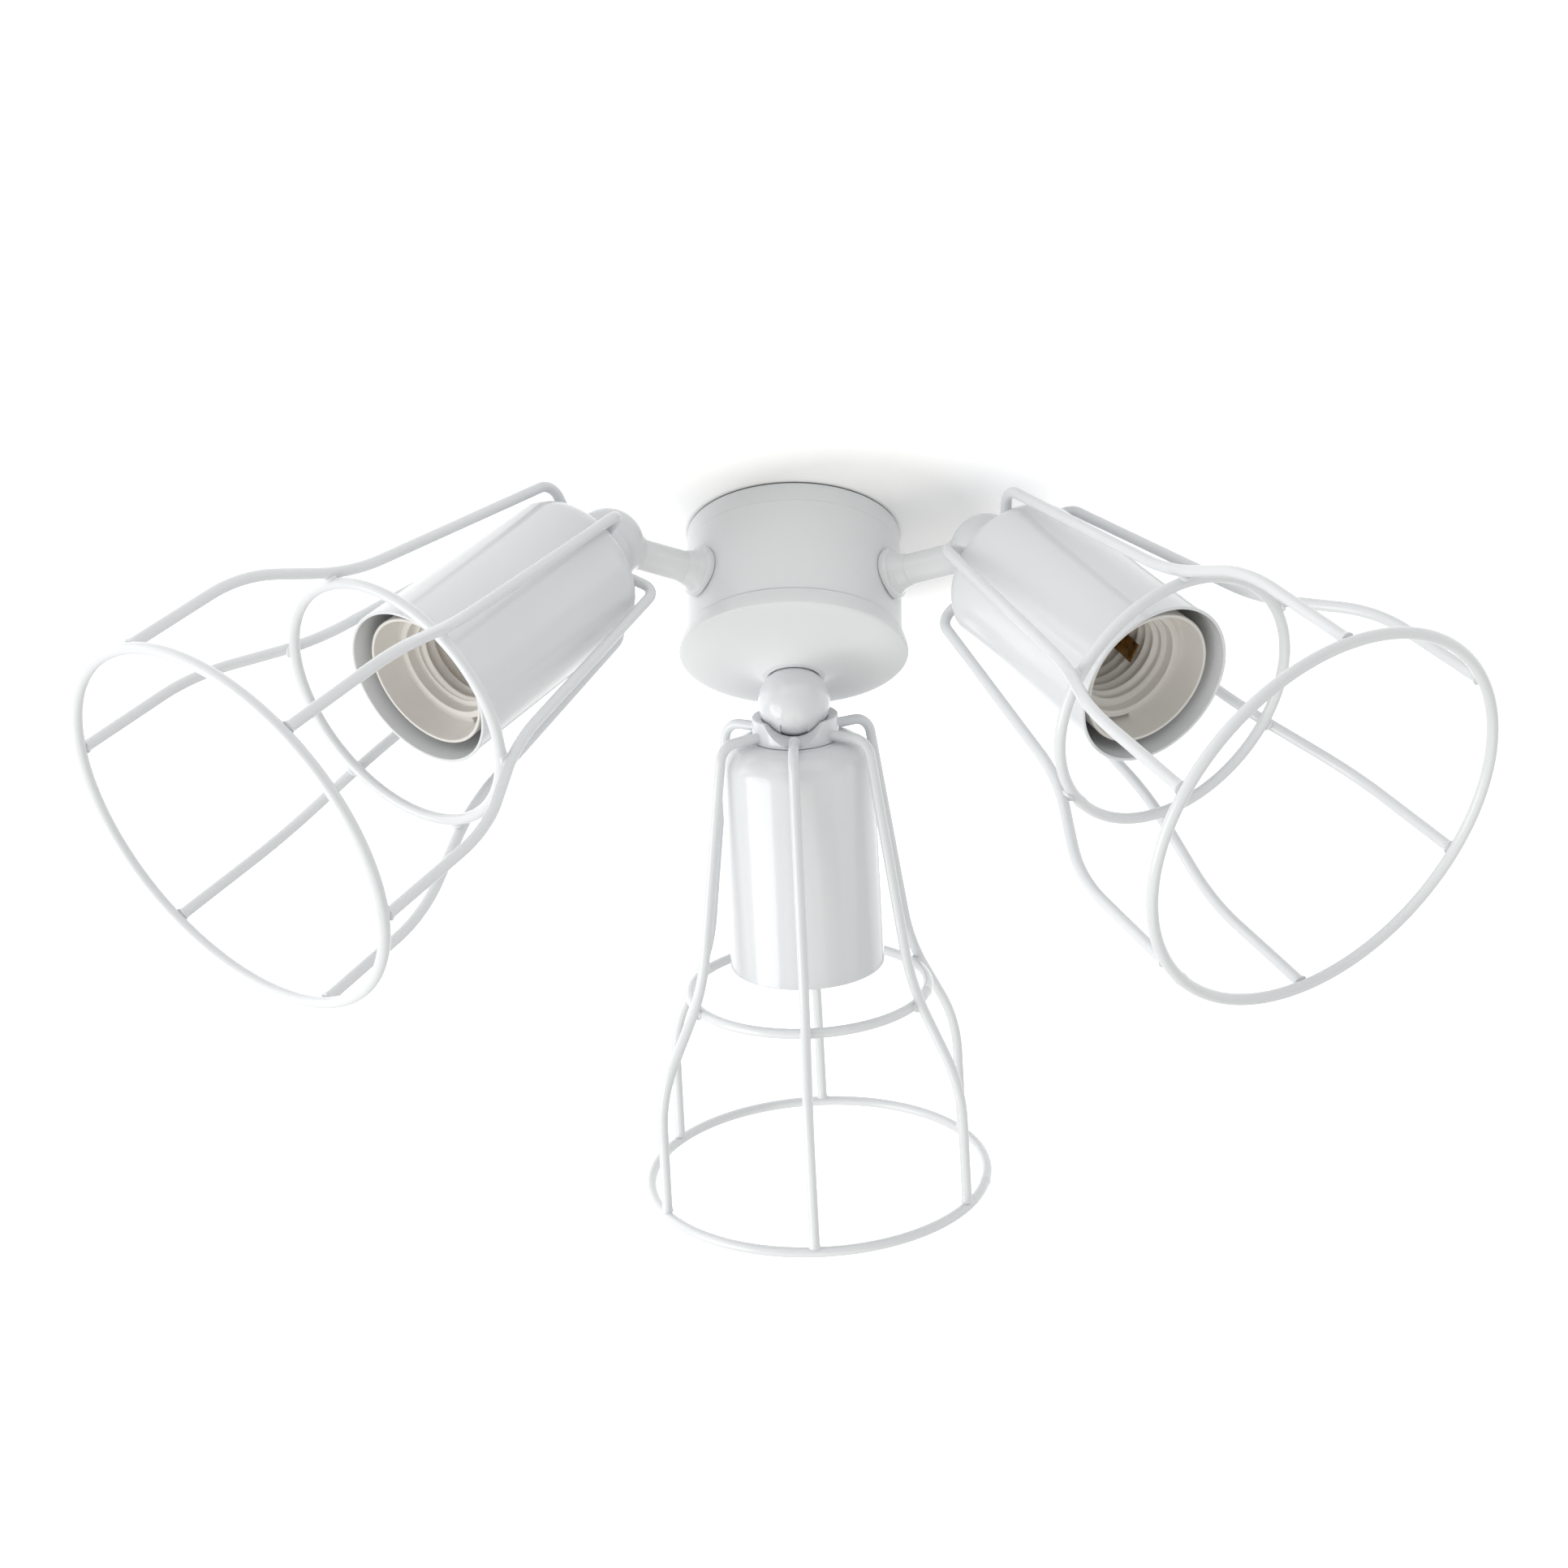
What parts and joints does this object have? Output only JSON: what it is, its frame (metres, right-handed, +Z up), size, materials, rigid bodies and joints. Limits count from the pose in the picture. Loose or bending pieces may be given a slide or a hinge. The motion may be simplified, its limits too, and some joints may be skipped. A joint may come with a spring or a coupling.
{
  "type": "ceiling fan light kit",
  "caption": "White ceiling fan light kit: a round hub with side arms and ball-jointed lamp heads, each a cup with a screw lampholder in a bell-shaped wire cage.",
  "frame": {"origin": "centre of the hub's top face", "axes": "+Z up, towards the fan; +X to the right seen from the side that both arms lean to; +Y away from it"},
  "size_m": [0.3961, 0.3182, 0.226],
  "materials": {
    "white_paint": "satin white powder coat",
    "zinc_steel": "zinc-plated",
    "cream_plastic": "moulded, cream white",
    "brass_contact": "bare brass",
    "grey_plastic": "moulded, light grey"
  },
  "bodies": {
    "root": {"hub_body": "white_paint", "mounting_plate": "zinc_steel", "terminal_block": "grey_plastic", "dish_cap": "white_paint", "centre_nipple": "zinc_steel", "dish_nut": "zinc_steel", "arm_flange_left": "white_paint", "arm_tube_left": "white_paint", "arm_nut_left": "zinc_steel", "arm_flange_right": "white_paint", "arm_tube_right": "white_paint", "arm_nut_right": "zinc_steel"},
    "ball_left": {"ball_left": "white_paint"},
    "head_left": {"slot_nut_left": "zinc_steel", "head_nipple_left": "zinc_steel", "head_nut_left": "zinc_steel", "collar_left": "white_paint", "cup_left": "white_paint", "lampholder_left": "cream_plastic", "centre_contact_left": "brass_contact", "cage_wire_left_1": "white_paint", "cage_wire_left_2": "white_paint", "cage_wire_left_3": "white_paint", "cage_wire_left_4": "white_paint", "cage_wire_left_5": "white_paint", "cage_wire_left_6": "white_paint", "cage_ring_mid_left": "white_paint", "cage_ring_large_left": "white_paint"},
    "ball_centre": {"ball_centre": "white_paint"},
    "head_centre": {"slot_nut_centre": "zinc_steel", "head_nipple_centre": "zinc_steel", "head_nut_centre": "zinc_steel", "collar_centre": "white_paint", "cup_centre": "white_paint", "lampholder_centre": "cream_plastic", "centre_contact_centre": "brass_contact", "cage_wire_centre_1": "white_paint", "cage_wire_centre_2": "white_paint", "cage_wire_centre_3": "white_paint", "cage_wire_centre_4": "white_paint", "cage_wire_centre_5": "white_paint", "cage_wire_centre_6": "white_paint", "cage_ring_mid_centre": "white_paint", "cage_ring_large_centre": "white_paint"},
    "ball_right": {"ball_right": "white_paint"},
    "head_right": {"slot_nut_right": "zinc_steel", "head_nipple_right": "zinc_steel", "head_nut_right": "zinc_steel", "collar_right": "white_paint", "cup_right": "white_paint", "lampholder_right": "cream_plastic", "centre_contact_right": "brass_contact", "cage_wire_right_1": "white_paint", "cage_wire_right_2": "white_paint", "cage_wire_right_3": "white_paint", "cage_wire_right_4": "white_paint", "cage_wire_right_5": "white_paint", "cage_wire_right_6": "white_paint", "cage_ring_mid_right": "white_paint", "cage_ring_large_right": "white_paint"}
  },
  "joints": [
    {"name": "swivel_left", "type": "hinge", "parent": "root", "child": "ball_left", "pos_m": [-0.05976, -0.0345, -0.0235], "axis": [-0.866, -0.5, 0], "range_deg": [-60, 35]},
    {"name": "tilt_left", "type": "hinge", "parent": "ball_left", "child": "head_left", "pos_m": [-0.05976, -0.0345, -0.0235], "axis": [0.5, -0.866, 0], "range_deg": [-26.8, 21.2]},
    {"name": "swivel_centre", "type": "hinge", "parent": "root", "child": "ball_centre", "pos_m": [0, 0, -0.061], "axis": [0, 0, -1], "range_deg": [-36.4, 23.6]},
    {"name": "tilt_centre", "type": "hinge", "parent": "ball_centre", "child": "head_centre", "pos_m": [0, 0, -0.061], "axis": [0.9938, -0.1115, 0], "range_deg": [-40.9, 4.1]},
    {"name": "swivel_right", "type": "hinge", "parent": "root", "child": "ball_right", "pos_m": [0.05976, -0.0345, -0.0235], "axis": [0.866, -0.5, 0], "range_deg": [-22, 73]},
    {"name": "tilt_right", "type": "hinge", "parent": "ball_right", "child": "head_right", "pos_m": [0.05976, -0.0345, -0.0235], "axis": [0.4872, 0.8438, -0.225], "range_deg": [-30, 18]}
  ]
}
